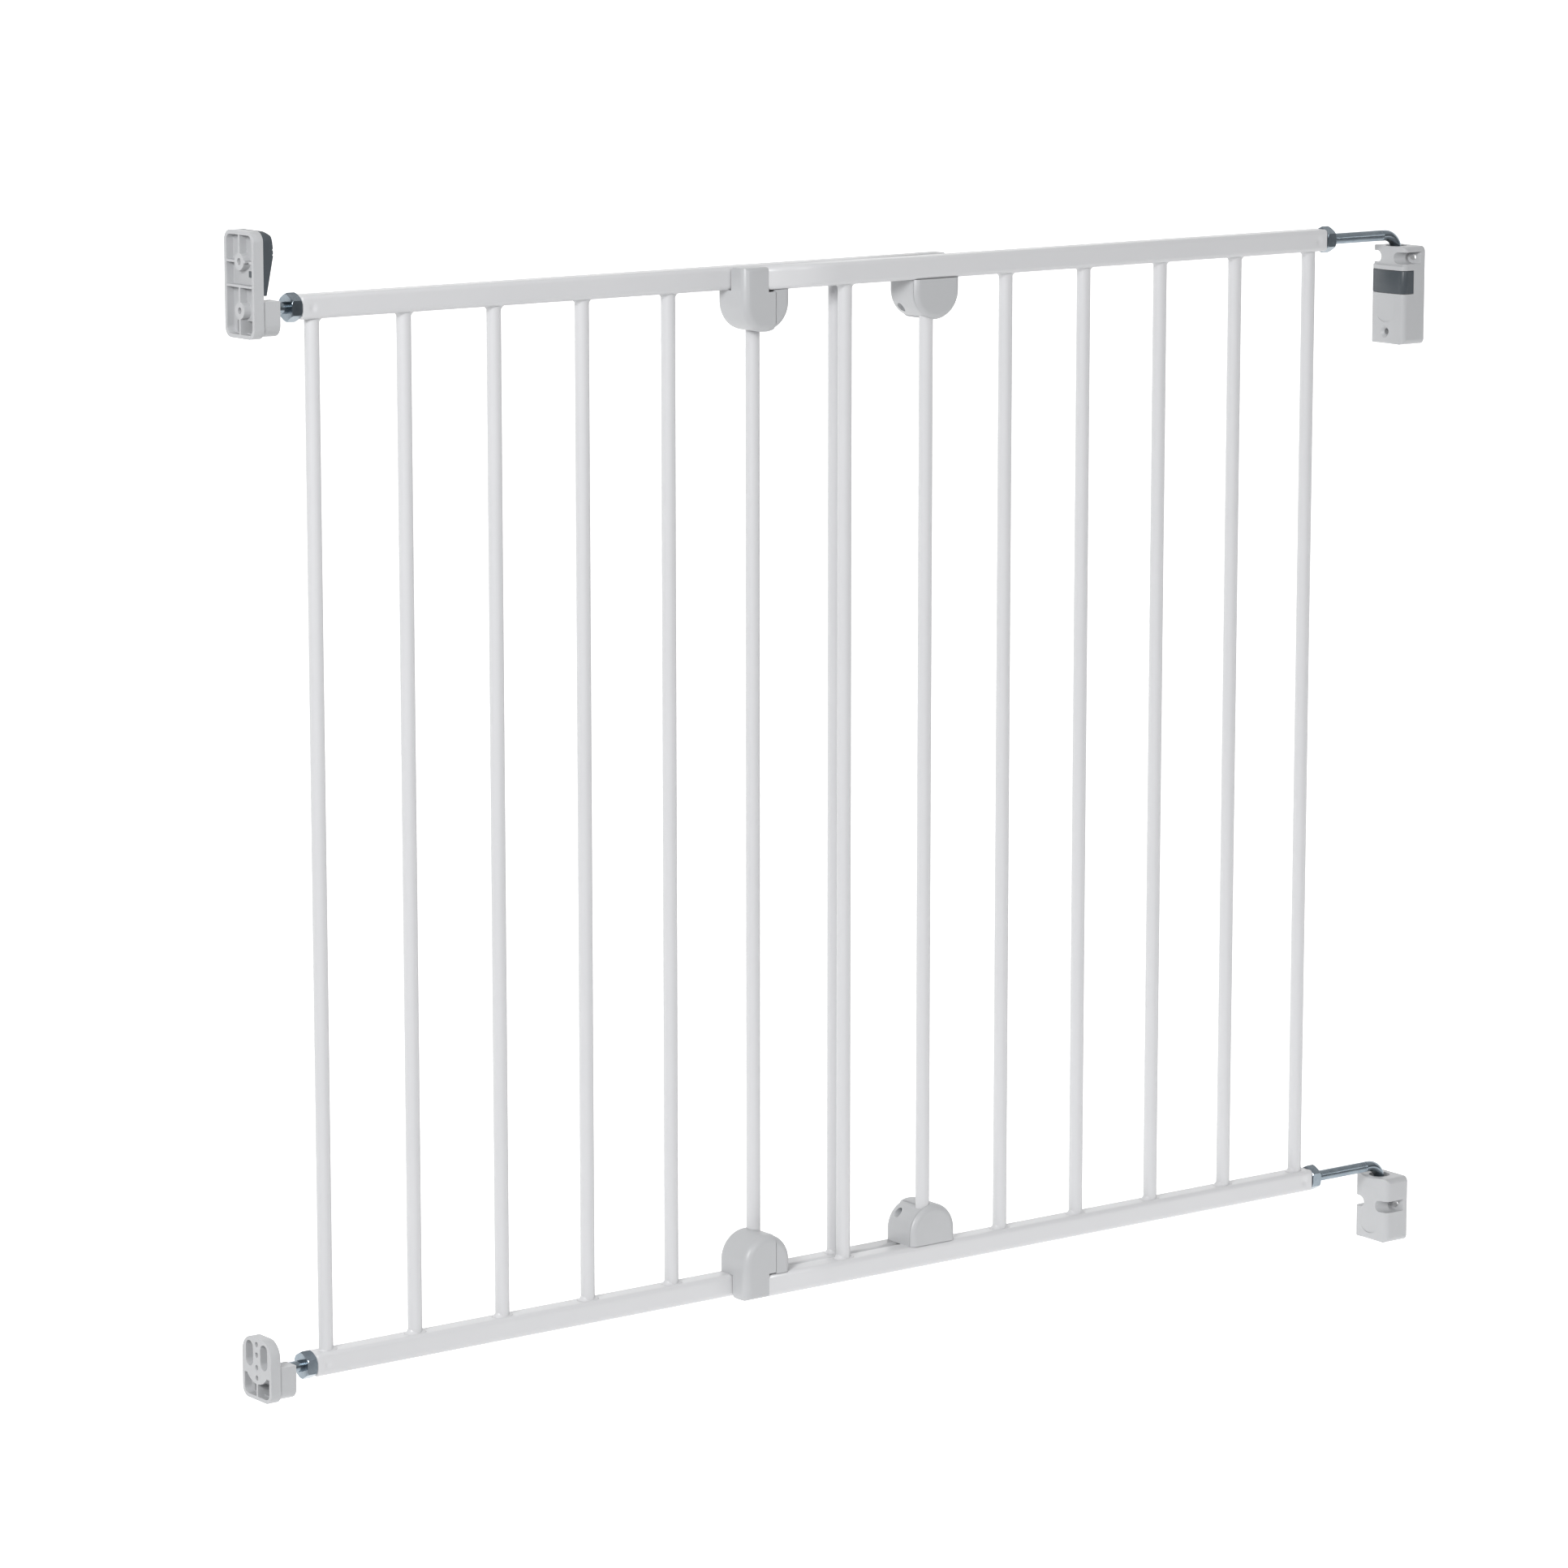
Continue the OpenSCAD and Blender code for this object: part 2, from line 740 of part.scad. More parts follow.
// Wedge that slides on the upper plate and keeps the bolt down in its cup
module catch_slider() {
    top_z = upper_plate_top;
    color(DARK_PLASTIC)
        translate([latch_wall_x, rear_y, top_rail_z]) {
            difference() {
                intersection() {
                    translate([plate_t, -bracket_w / 2, 0])
                        along_y(bracket_w)
                            polygon(concat([[0, catch_tip_z], [catch_tip_t, catch_tip_z]],
                                           catch_grooves(),
                                           [[catch_crown_t, top_z - catch_crown_h],
                                            [catch_crown_t / 2, top_z], [0, top_z]]));
                    translate([plate_t, 0, 0])
                        along_x(2 * catch_top_t)
                            plate_outline(top_z, 0, plate_corner_r, plate_corner_r);
                }
                translate([plate_t - cut, 0, screw_spacing])
                    rod_x(3 * catch_top_t, catch_access_r);
            }
            translate([plate_t - plate_skin - loose_gap, catch_stem_y, catch_stem_z - catch_stem_h / 2]) {
                translate([0, -catch_stem_w / 2, 0])
                    cube([plate_skin + loose_gap, catch_stem_w, catch_stem_h]);
                translate([-catch_head_t, -catch_head_w / 2, 0])
                    cube([catch_head_t, catch_head_w, catch_stem_h]);
            }
        }
}

// ---- Frame clips ----
// Drawn for the clip that holds the rear frame's top rail: the origin is at the middle of the
// other frame's rail end, on the clipped frame's centre plane, at the rail's underside.

// Half of the clip's section in (X, Y), from its middle out to r, with its front and back rims rounded
module rim_section(r, y0, y1) {
    translate([0, y0])
        square([r - clip_front_r, clip_front_r]);
    translate([0, y0 + clip_front_r])
        square([r, y1 - y0 - clip_front_r - clip_back_r]);
    translate([0, y1 - clip_back_r])
        square([r - clip_back_r, clip_back_r]);
    translate([r - clip_front_r, y0 + clip_front_r])
        circle(clip_front_r);
    translate([r - clip_back_r, y1 - clip_back_r])
        circle(clip_back_r);
}

// Straight upper part of the clip's form, from the height z0 to z1
module clip_straight_form(inset, y0, y1, z0, z1) {
    translate([0, 0, z0])
        linear_extrude(z1 - z0)
            for (side = [0, 1])
                mirror([side, 0])
                    rim_section(clip_r - inset, y0, y1);
}

// D-shaped form of the clip from depth y0 to y1, shrunk by inset all round its curve
module clip_form(inset, y0, y1) {
    clip_straight_form(inset, y0, y1, -clip_straight, 0);
    translate([0, 0, -clip_straight])
        rotate([-90, 0, 0])
            rotate_extrude(angle = 180)
                rim_section(clip_r - inset, y0, y1);
}

module clip_bar_hole() {
    translate([bar_stagger, 0, -clip_drop - cut])
        cylinder(h = clip_drop + 2 * cut, r = clip_bar_r);
}

module clip_screw_hole(head_r, shank_r) {
    head_x = clip_r / 2;
    translate([head_x - clip_screw_len, clip_screw_y, -clip_screw_drop]) {
        rod_x(clip_screw_len, shank_r);
        translate([clip_screw_len - clip_screw_head_t, 0, 0])
            rod_x(clip_r, head_r);
    }
}

module clip_body() {
    front_of_clip = rail_size / 2 - clip_depth;
    other_y = -rear_y;
    difference() {
        union() {
            difference() {
                clip_form(0, front_of_clip, rail_size / 2);
                translate([clip_seam, front_of_clip - cut, -clip_drop - cut])
                    cube([clip_r, clip_depth - clip_back_t + cut, clip_drop + 2 * cut]);
                translate([0, front_of_clip - cut, -clip_notch])
                    cube([clip_r, rail_size + cut, clip_notch + cut]);
                translate([bar_stagger, -clip_bar_r, -clip_drop - cut])
                    cube([clip_r, 2 * clip_bar_r, clip_drop + 2 * cut]);
                clip_bar_hole();
            }
            intersection() {
                clip_straight_form(0, front_of_clip, rail_size / 2, 0, rail_size);
                union() {
                    translate([-clip_r, other_y, rail_size / 2])
                        along_x(clip_r)
                            rounded_rect(rail_size, rail_size, rail_corner_r);
                    translate([-clip_r, other_y - rail_size / 2, 0])
                        cube([clip_r, rail_size, rail_size / 2]);
                }
            }
            translate([0, other_y, rail_size / 2])
                along_x(clip_plug_len)
                    rounded_rect(insert_side, insert_side, insert_corner_r);
        }
        clip_screw_hole(clip_screw_shank_r, clip_screw_shank_r);
    }
}

module clip_cover() {
    front_of_clip = rail_size / 2 - clip_depth;
    difference() {
        clip_form(cover_inset, front_of_clip + cover_inset, rail_size / 2);
        translate([-clip_w, rail_size / 2 - clip_back_t - clip_seam_gap, -clip_drop - cut])
            cube([2 * clip_w, clip_depth, clip_drop + 2 * cut]);
        translate([-clip_w, -clip_depth, -clip_drop - cut])
            cube([clip_w + clip_seam + clip_seam_gap, 2 * clip_depth, clip_drop + 2 * cut]);
        clip_bar_hole();
        clip_screw_hole(clip_screw_head_r + seat_gap, clip_screw_shank_r);
    }
}

module clip_screw() {
    head_x = clip_r / 2;
    translate([head_x - clip_screw_len, clip_screw_y, -clip_screw_drop]) {
        rod_x(clip_screw_len - clip_screw_head_t, clip_screw_shank_r);
        translate([clip_screw_len - clip_screw_head_t, 0, 0])
            rod_x(clip_screw_head_t, clip_screw_head_r);
    }
}

// Puts a clip part at the left (-1) or right (+1) pair, at the top (+1) or bottom (-1)
module place_clip(side, level) {
    translate([side < 0 ? front_inner_x : rear_inner_x, side < 0 ? rear_y : front_y, mid_z])
        mirror([0, 0, level < 0 ? 1 : 0])
            translate([0, 0, frame_h / 2 - rail_size])
                rotate([0, 0, side < 0 ? 0 : 180])
                    children();
}

module clip_body_at(side, level) {
    color(LIGHT_PLASTIC)
        place_clip(side, level)
            clip_body();
}

module clip_cover_at(side, level) {
    color(LIGHT_PLASTIC)
        place_clip(side, level)
            clip_cover();
}

module clip_screws() {
    color(ZINC)
        for (side = [-1, 1], level = [-1, 1])
            place_clip(side, level)
                clip_screw();
}

// ---- Nodes ----

upper_hinge_bracket();
lower_hinge_bracket();
upper_latch_bracket();
lower_latch_bracket();
hinge_bush(upper_bracket_top);  // upper_hinge_bush
hinge_bush(lower_bracket_top);  // lower_hinge_bush
hinge_rod(top_rail_z, true);  // upper_hinge_rod
hinge_rod(bottom_rail_z, false);  // lower_hinge_rod
lift_retainer();
catch_slider();
latch_bolt(top_rail_z);  // upper_latch_bolt
latch_bolt(bottom_rail_z);  // lower_latch_bolt
rail(front_inner_x, front_y, top_rail_z);  // front_top_rail
rail(front_inner_x, front_y, bottom_rail_z);  // front_bottom_rail
rail(rear_outer_x, rear_y, top_rail_z);  // rear_top_rail
rail(rear_outer_x, rear_y, bottom_rail_z);  // rear_bottom_rail
rail_insert(front_outer_x, front_y, top_rail_z, 1);  // front_top_insert
rail_insert(front_outer_x, front_y, bottom_rail_z, 1);  // front_bottom_insert
rail_insert(rear_outer_x, rear_y, top_rail_z, -1);  // rear_top_insert
rail_insert(rear_outer_x, rear_y, bottom_rail_z, -1);  // rear_bottom_insert
lock_nut(front_outer_x, front_y, top_rail_z, 1);  // upper_hinge_nut
lock_nut(front_outer_x, front_y, bottom_rail_z, 1);  // lower_hinge_nut
lock_nut(rear_outer_x, rear_y, top_rail_z, -1);  // upper_latch_nut
lock_nut(rear_outer_x, rear_y, bottom_rail_z, -1);  // lower_latch_nut
front_bar(1);  // front_bar_1
front_bar(2);  // front_bar_2
front_bar(3);  // front_bar_3
front_bar(4);  // front_bar_4
front_bar(5);  // front_bar_5
front_bar(6);  // front_bar_6
front_bar(7);  // front_bar_7
rear_bar(1);  // rear_bar_1
rear_bar(2);  // rear_bar_2
rear_bar(3);  // rear_bar_3
rear_bar(4);  // rear_bar_4
rear_bar(5);  // rear_bar_5
rear_bar(6);  // rear_bar_6
rear_bar(7);  // rear_bar_7
clip_body_at(-1, 1);  // left_top_clip_body
clip_cover_at(-1, 1);  // left_top_clip_cover
clip_body_at(-1, -1);  // left_bottom_clip_body
clip_cover_at(-1, -1);  // left_bottom_clip_cover
clip_body_at(1, 1);  // right_top_clip_body
clip_cover_at(1, 1);  // right_top_clip_cover
clip_body_at(1, -1);  // right_bottom_clip_body
clip_cover_at(1, -1);  // right_bottom_clip_cover
clip_screws();
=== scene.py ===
"""Visual model of an extending wall-fixed safety gate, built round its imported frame, in metres."""
import logging
import math
from dataclasses import dataclass, field
from enum import Enum

import bmesh
import bpy
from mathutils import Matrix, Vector
from mathutils.noise import noise


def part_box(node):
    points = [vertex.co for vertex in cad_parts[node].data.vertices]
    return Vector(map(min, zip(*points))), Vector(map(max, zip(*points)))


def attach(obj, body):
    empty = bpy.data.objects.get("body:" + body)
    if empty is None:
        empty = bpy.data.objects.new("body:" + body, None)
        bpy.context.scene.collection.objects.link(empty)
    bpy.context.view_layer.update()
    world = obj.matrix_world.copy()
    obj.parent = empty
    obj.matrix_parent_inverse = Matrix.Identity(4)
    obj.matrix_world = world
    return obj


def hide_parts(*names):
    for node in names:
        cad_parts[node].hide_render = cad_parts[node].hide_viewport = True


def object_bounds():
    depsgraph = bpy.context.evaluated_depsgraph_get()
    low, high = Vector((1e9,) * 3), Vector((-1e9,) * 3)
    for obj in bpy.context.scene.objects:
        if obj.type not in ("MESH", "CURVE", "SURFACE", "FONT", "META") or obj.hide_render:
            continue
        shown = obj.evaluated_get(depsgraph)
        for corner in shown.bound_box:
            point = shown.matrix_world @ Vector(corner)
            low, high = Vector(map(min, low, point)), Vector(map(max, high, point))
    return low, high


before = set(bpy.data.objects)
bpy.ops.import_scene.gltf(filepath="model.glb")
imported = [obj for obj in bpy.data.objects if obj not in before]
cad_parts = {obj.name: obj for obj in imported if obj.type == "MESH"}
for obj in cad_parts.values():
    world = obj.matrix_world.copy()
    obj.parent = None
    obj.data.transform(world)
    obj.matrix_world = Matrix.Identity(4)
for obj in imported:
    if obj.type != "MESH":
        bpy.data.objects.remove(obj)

log = logging.getLogger("safety_gate")
MM = 0.001
CAD_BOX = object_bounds()


class Slot(Enum):
    """The record's material slots."""
    POWDER_COAT = "white_powder_coat"
    LIGHT_PLASTIC = "light_plastic"
    WHITE_PLASTIC = "white_plastic"
    DARK_PLASTIC = "dark_plastic"
    ZINC = "zinc_steel"
    NYLON = "nylon"


class Body(Enum):
    """The bodies that new pieces ride on."""
    PANEL = "gate_panel"
    RODS = "hinge_rods"
    UPPER_BOLT = "upper_bolt"
    LOWER_BOLT = "lower_bolt"


# ---- Shader building ----

class Value:
    """A number socket that takes part in arithmetic."""

    def __init__(self, graph: "Graph", socket: bpy.types.NodeSocket) -> None:
        """Wrap a socket of a graph."""
        self.graph = graph
        self.socket = socket

    def _math(self, operation: str, first: object, second: object) -> "Value":
        """Add a Math node for two operands, each a Value or a number."""
        return self.graph.value("ShaderNodeMath", {"operation": operation}, {0: first, 1: second})

    def __add__(self, other: object) -> "Value":
        """Sum."""
        return self._math("ADD", self, other)

    __radd__ = __add__

    def __mul__(self, other: object) -> "Value":
        """Product."""
        return self._math("MULTIPLY", self, other)

    __rmul__ = __mul__


class Graph:
    """The node tree of one material, or of the world."""

    def __init__(self, owner: bpy.types.ID) -> None:
        """Clear the owner's nodes and keep its object-space place and its direction."""
        self.owner = owner
        owner.use_nodes = True
        self.tree = owner.node_tree
        self.tree.nodes.clear()
        coordinates = self.node("ShaderNodeTexCoord")
        self.place = coordinates.outputs["Object"]
        self.direction = coordinates.outputs["Generated"]

    @classmethod
    def material(cls, name: str) -> "Graph":
        """Start an empty material with the name given."""
        return cls(bpy.data.materials.new(name))

    def node(self, kind: str, settings: dict | None = None, inputs: dict | None = None) -> bpy.types.Node:
        """Add a node.

        Args:
            kind: The node's type.
            settings: The node's properties, which are set first.
            inputs: Values, colours, sockets or Values by socket name or number.

        Returns:
            The new node.
        """
        made = self.tree.nodes.new(kind)
        for key, setting in (settings or {}).items():
            setattr(made, key, setting)
        for key, given in (inputs or {}).items():
            if isinstance(given, Value):
                given = given.socket
            if isinstance(given, bpy.types.NodeSocket):
                self.tree.links.new(given, made.inputs[key])
            else:
                made.inputs[key].default_value = given
        return made

    def value(self, kind: str, settings: dict | None = None, inputs: dict | None = None,
              output: object = 0) -> Value:
        """Add a node and wrap one of its number outputs.

        Args:
            kind: The node's type.
            settings: The node's properties.
            inputs: What its sockets take.
            output: The output's name or number.

        Returns:
            The wrapped output.
        """
        return Value(self, self.node(kind, settings, inputs).outputs[output])

    def noise(self, scale: float, detail: float = 2.0, roughness: float = 0.5) -> Value:
        """Add three-dimensional noise in the object's own space.

        Args:
            scale: Waves per metre.
            detail: Number of finer octaves.
            roughness: Share of the finer octaves.

        Returns:
            The noise, from 0 to 1.
        """
        return self.value("ShaderNodeTexNoise", {"noise_dimensions": "3D"},
                          {"Vector": self.place, "Scale": scale, "Detail": detail, "Roughness": roughness})

    def mix(self, factor: Value, first: tuple, second: tuple) -> bpy.types.NodeSocket:
        """Blend two colours.

        Args:
            factor: 0 for the first colour, 1 for the second.
            first: Red, green and blue.
            second: Red, green and blue.

        Returns:
            The colour socket.
        """
        node = self.node("ShaderNodeMix", {"data_type": "RGBA"},
                         {"Factor": factor, "A": (*first, 1.0), "B": (*second, 1.0)})
        return node.outputs["Result"]

    def bump(self, height: Value, depth: float,
             under: bpy.types.NodeSocket | None = None) -> bpy.types.NodeSocket:
        """Turn a height into a normal.

        Args:
            height: The height, from 0 to 1.
            depth: What a height of 1 stands for, in metres.
            under: A normal that this one lies over.

        Returns:
            The normal socket.
        """
        inputs: dict = {"Height": height, "Strength": 1.0, "Distance": depth}
        if under is not None:
            inputs["Normal"] = under
        return self.node("ShaderNodeBump", None, inputs).outputs["Normal"]

    def surface(self, **sockets: object) -> bpy.types.Material:
        """Finish the material with a Principled shader.

        Args:
            sockets: What each socket takes, with underscores for the spaces in its name.

        Returns:
            The finished material.
        """
        inputs = {key.replace("_", " "): given for key, given in sockets.items()}
        shader = self.node("ShaderNodeBsdfPrincipled", None, inputs)
        self.node("ShaderNodeOutputMaterial", None, {"Surface": shader.outputs["BSDF"]})
        return self.owner


# ---- Finishes ----

@dataclass(frozen=True)
class PowderCoat:
    """Baked powder coat: faint orange peel, fine speckle and slightly uneven gloss."""
    name: str = "powder_coat"
    colour: tuple = (0.62, 0.622, 0.632)
    shade: tuple = (0.585, 0.588, 0.60)
    roughness: float = 0.34
    gloss_spread: float = 0.12
    peel_scale: float = 520.0
    peel_depth: float = 0.022 * MM
    speckle_scale: float = 1600.0
    speckle_share: float = 0.25
    drift_scale: float = 14.0

    def material(self) -> bpy.types.Material:
        """Build the material."""
        g = Graph.material(self.name)
        speckle = g.noise(self.speckle_scale, 3.0, 0.6)
        drift = g.noise(self.drift_scale, 2.0)
        peel = g.noise(self.peel_scale, 1.5, 0.45)
        cloud = self.speckle_share * speckle + (1 - self.speckle_share) * drift
        under = g.bump(speckle, self.peel_depth * self.speckle_share)
        return g.surface(Base_Color=g.mix(cloud, self.shade, self.colour),
                         Roughness=self.roughness - self.gloss_spread / 2 + self.gloss_spread * peel,
                         Normal=g.bump(peel, self.peel_depth, under),
                         Coat_Weight=0.12, Coat_Roughness=0.18)


@dataclass(frozen=True)
class MouldedPlastic:
    """Injection-moulded plastic: spark-eroded grain, faint flow shading and satin gloss."""
    name: str
    colour: tuple
    shade: tuple
    roughness: float = 0.37
    gloss_spread: float = 0.16
    grain_scale: float = 1500.0
    grain_depth: float = 0.016 * MM
    grain_share: float = 0.3
    flow_scale: float = 38.0

    def material(self) -> bpy.types.Material:
        """Build the material."""
        g = Graph.material(self.name)
        grain = g.noise(self.grain_scale, 3.0, 0.65)
        flow = g.noise(self.flow_scale, 3.0, 0.55)
        cloud = self.grain_share * grain + (1 - self.grain_share) * flow
        return g.surface(Base_Color=g.mix(cloud, self.shade, self.colour),
                         Roughness=self.roughness - self.gloss_spread / 2 + self.gloss_spread * grain,
                         Normal=g.bump(grain, self.grain_depth))


@dataclass(frozen=True)
class ZincPlate:
    """Bright blue-passivated zinc on steel: cloudy tint and small pits."""
    name: str = "zinc_plate"
    colour: tuple = (0.36, 0.41, 0.45)
    shade: tuple = (0.17, 0.21, 0.245)
    smoothest: float = 0.12
    cloud_scale: float = 160.0
    pit_scale: float = 2600.0
    pit_depth: float = 0.008 * MM

    def material(self) -> bpy.types.Material:
        """Build the material."""
        g = Graph.material(self.name)
        cloud = g.noise(self.cloud_scale, 4.0, 0.6)
        pits = g.noise(self.pit_scale, 2.0, 0.7)
        return g.surface(Base_Color=g.mix(cloud, self.shade, self.colour), Metallic=1.0,
                         Roughness=self.smoothest + 0.2 * cloud * pits + 0.06 * pits,
                         Normal=g.bump(pits, self.pit_depth))


FINISHES = {
    Slot.POWDER_COAT: PowderCoat(),
    Slot.LIGHT_PLASTIC: MouldedPlastic("grey_moulding", (0.475, 0.482, 0.492), (0.44, 0.447, 0.457)),
    Slot.WHITE_PLASTIC: MouldedPlastic("white_plug", (0.66, 0.66, 0.67), (0.62, 0.62, 0.63)),
    Slot.DARK_PLASTIC: MouldedPlastic("charcoal_moulding", (0.066, 0.078, 0.088), (0.05, 0.06, 0.07), 0.36),
    Slot.ZINC: ZincPlate(),
    Slot.NYLON: MouldedPlastic("natural_nylon", (0.74, 0.72, 0.66), (0.68, 0.66, 0.60), 0.35),
}


class Paint:
    """Holds one built material per slot."""

    def __init__(self) -> None:
        """Build every finish once."""
        self.materials = {slot: finish.material() for slot, finish in FINISHES.items()}

    def dress_node(self, name: str) -> None:
        """Give a CAD node the finish of its record slot.

        Args:
            name: The node's name.
        """
        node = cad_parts[name]
        for place in node.material_slots:
            for slot, material in self.materials.items():
                if place.material and place.material.name.split(".")[0] == slot.value:
                    place.material = material
                    break

    def dress(self, piece: bpy.types.Object, slot: Slot) -> None:
        """Give a new piece the finish of its slot.

        Args:
            piece: The new object.
            slot: Its material slot.
        """
        piece.data.materials.append(self.materials[slot])


def new_piece(name: str, verts: list, faces: list, body: Body, slot: Slot, paint: Paint,
              stands_for: tuple = ()) -> bpy.types.Object:
    """Make a smooth-shaded mesh piece, dress it and tie it to its body.

    Args:
        name: The piece's name.
        verts: Its vertices, in metres.
        faces: Its faces, as vertex numbers.
        body: The body that it rides on.
        slot: Its material slot.
        paint: The built materials.
        stands_for: The CAD nodes that it replaces.

    Returns:
        The new object.
    """
    mesh = bpy.data.meshes.new(name)
    mesh.from_pydata(verts, [], faces)
    shaped = bmesh.new()
    shaped.from_mesh(mesh)
    bmesh.ops.recalc_face_normals(shaped, faces=shaped.faces)
    shaped.to_mesh(mesh)
    shaped.free()
    mesh.polygons.foreach_set("use_smooth", [True] * len(mesh.polygons))
    piece = bpy.data.objects.new(name, mesh)
    bpy.context.scene.collection.objects.link(piece)
    paint.dress(piece, slot)
    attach(piece, body.value)
    if stands_for:
        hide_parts(*stands_for)
    log.info("%s: %d faces on %s", name, len(faces), body.value)
    return piece


def skin(rings: list[list[Vector]], closed_ends: bool = True) -> tuple[list, list]:
    """Join rings of equal length into one surface.

    Args:
        rings: The rings in order, each a list of points.
        closed_ends: Whether a face closes the first and the last ring.

    Returns:
        The vertices and faces.
    """
    count = len(rings[0])
    verts = [tuple(point) for ring in rings for point in ring]
    faces = []
    for this in range(0, (len(rings) - 1) * count, count):
        for j in range(count):
            after = (j + 1) % count
            faces.append((this + j, this + after, this + count + after, this + count + j))
    if closed_ends:
        faces.append(tuple(reversed(range(count))))
        faces.append(tuple(range((len(rings) - 1) * count, len(rings) * count)))
    return verts, faces


def around(steps: int) -> list[float]:
    """Even angles round a full turn.

    Args:
        steps: How many.

    Returns:
        The angles, from 0 upwards.
    """
    return [2 * math.pi * k / steps for k in range(steps)]


def quarter_turn(steps: int) -> list[float]:
    """Even angles of a quarter turn, without its start.

    Args:
        steps: How many.

    Returns:
        The angles, up to a right angle.
    """
    return [k / steps * math.pi / 2 for k in range(1, steps + 1)]


# ---- Sub-assemblies ----

@dataclass
class SquareRail:
    """Square tube rail with rounded edges, a softened outer end and the dent that keys its plug."""
    name: str
    outer_at_high_x: bool
    paint: Paint
    corner_r: float = 3 * MM
    end_r: float = 1.4 * MM
    wall: float = 1.5 * MM
    dent_from_end: float = 8.5 * MM
    dent_r: float = 4.0 * MM
    dent_depth: float = 0.9 * MM
    least_corner_r: float = 0.4 * MM
    least_bore_r: float = 0.5 * MM
    dented_flat: float = 0.9
    corner_steps: int = 6
    flat_steps: int = 10
    end_steps: int = 5
    fine_from: int = 3
    fine_to: int = 16
    long_parts: int = 8

    def section(self, half: float, radius: float) -> list[tuple[float, float]]:
        """Draw the rounded square, with evenly divided flats.

        Args:
            half: Half of its width.
            radius: Its corners' radius.

        Returns:
            Its points in (Y, Z).
        """
        points = []
        for quarter in range(4):
            base = quarter * math.pi / 2
            for step in range(self.corner_steps + 1):
                angle = base + step / self.corner_steps * math.pi / 2
                centre = half - radius
                cy = centre * (1 if quarter in (0, 3) else -1)
                cz = centre * (1 if quarter in (0, 1) else -1)
                points.append((cy + radius * math.cos(angle), cz + radius * math.sin(angle)))
            ny, nz = math.cos(base + math.pi / 2), math.sin(base + math.pi / 2)
            ty, tz = -nz, ny
            for step in range(1, self.flat_steps):
                along = -1 + 2 * step / self.flat_steps
                reach = along * (half - radius)
                points.append((ny * half + ty * reach, nz * half + tz * reach))
        return points

    def build(self) -> bpy.types.Object:
        """Build the rail's mesh and put it in place of the CAD node.

        Returns:
            The new rail.
        """
        low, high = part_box(self.name)
        cy, cz = (low.y + high.y) / 2, (low.z + high.z) / 2
        half = (high.y - low.y) / 2
        out = 1 if self.outer_at_high_x else -1
        end = high.x if self.outer_at_high_x else low.x
        inner = low.x if self.outer_at_high_x else high.x
        length = abs(end - inner)
        inside = half - self.wall
        inside_r = max(self.corner_r - self.wall, self.least_bore_r)
        rings = []
        for angle in [0.0] + quarter_turn(self.end_steps):
            shrink = self.end_r * (1 - math.sin(angle))
            back = self.end_r * (1 - math.cos(angle))
            rings.append((end - out * back, half - shrink, max(self.corner_r - shrink, self.least_corner_r)))
        fine_end = self.fine_to * MM
        backs = [step * MM for step in range(self.fine_from, self.fine_to + 1)]
        backs += [fine_end + (length - fine_end) * part / self.long_parts
                  for part in range(1, self.long_parts + 1)]
        rings += [(end - out * back, half, self.corner_r) for back in backs]
        shell = []
        for x, reach, radius in rings:
            ring = []
            for y, z in self.section(reach, radius):
                dent_off = math.hypot(abs(x - end) - self.dent_from_end, z)
                if y < -half + self.corner_r * self.dented_flat and dent_off < self.dent_r:
                    y += self.dent_depth * (1 + math.cos(math.pi * dent_off / self.dent_r)) / 2
                ring.append(Vector((x, cy + y, cz + z)))
            shell.append(ring)
        bore = [[Vector((x, cy + y, cz + z)) for y, z in self.section(inside, inside_r)]
                for x in (inner, end)]
        rings_all = shell + bore
        verts, faces = skin(rings_all + [rings_all[0]], closed_ends=False)
        count = len(shell[0])
        verts = verts[:-count]
        total = len(verts)
        faces = [tuple(v % total for v in face) for face in faces]
        return new_piece(self.name.replace("_rail", "_tube"), verts, faces, Body.PANEL, Slot.POWDER_COAT,
                         self.paint, (self.name,))


